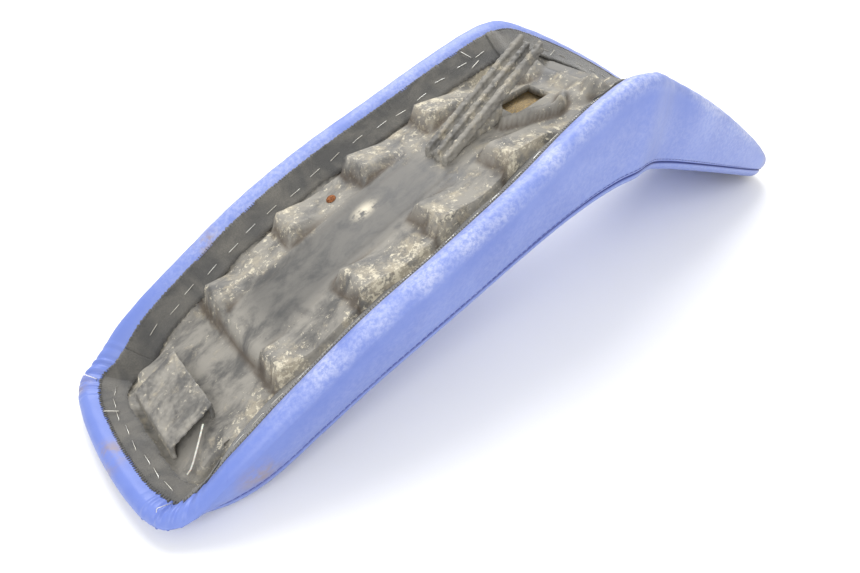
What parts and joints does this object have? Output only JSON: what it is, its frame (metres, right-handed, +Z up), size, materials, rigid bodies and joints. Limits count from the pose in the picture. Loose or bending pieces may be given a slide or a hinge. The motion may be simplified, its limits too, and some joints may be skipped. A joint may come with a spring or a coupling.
{
  "type": "motorcycle seat",
  "caption": "Off-road motorcycle seat lying upside down: vinyl cover stapled through felt edging over foam to a moulded pan with side blocks and a ribbed front hook.",
  "frame": {"origin": "on the bench that the upside-down seat lies on, below the middle of its overall box", "axes": "+Z up as the seat lies upside down with its pan facing up, +X towards the nose, so +Y is to the left when facing the nose as it lies"},
  "size_m": [0.69, 0.202, 0.2072],
  "materials": {
    "pan_plastic": "black moulded plastic under grey-brown dust and dried mud",
    "foam": "open-cell yellow polyurethane foam",
    "vinyl": "smooth blue vinyl, worn pale along the rim",
    "thread": "dark polyester sewing thread",
    "felt": "black non-woven felt, dusty",
    "staple_steel": "bright galvanised wire",
    "rusty_steel": "rusted steel",
    "nylon": "natural white nylon"
  },
  "bodies": {
    "root": {"seat_pan": "pan_plastic", "front_hook": "pan_plastic", "rear_box": "pan_plastic", "foam_core": "foam", "cover_top": "vinyl", "cover_side_left": "vinyl", "cover_side_right": "vinyl", "cover_rear": "vinyl", "seam_thread_left": "thread", "seam_thread_right": "thread", "seam_thread_rear": "thread", "edging_left": "felt", "edging_right": "felt", "edging_rear": "felt", "edging_nose": "felt", "edging_thread": "thread", "staples_left": "staple_steel", "staples_right": "staple_steel", "staples_rear": "staple_steel", "staples_nose": "staple_steel", "staples_stray": "staple_steel", "drain_rivet": "rusty_steel", "cable_tie_tail": "nylon"}
  },
  "joints": []
}
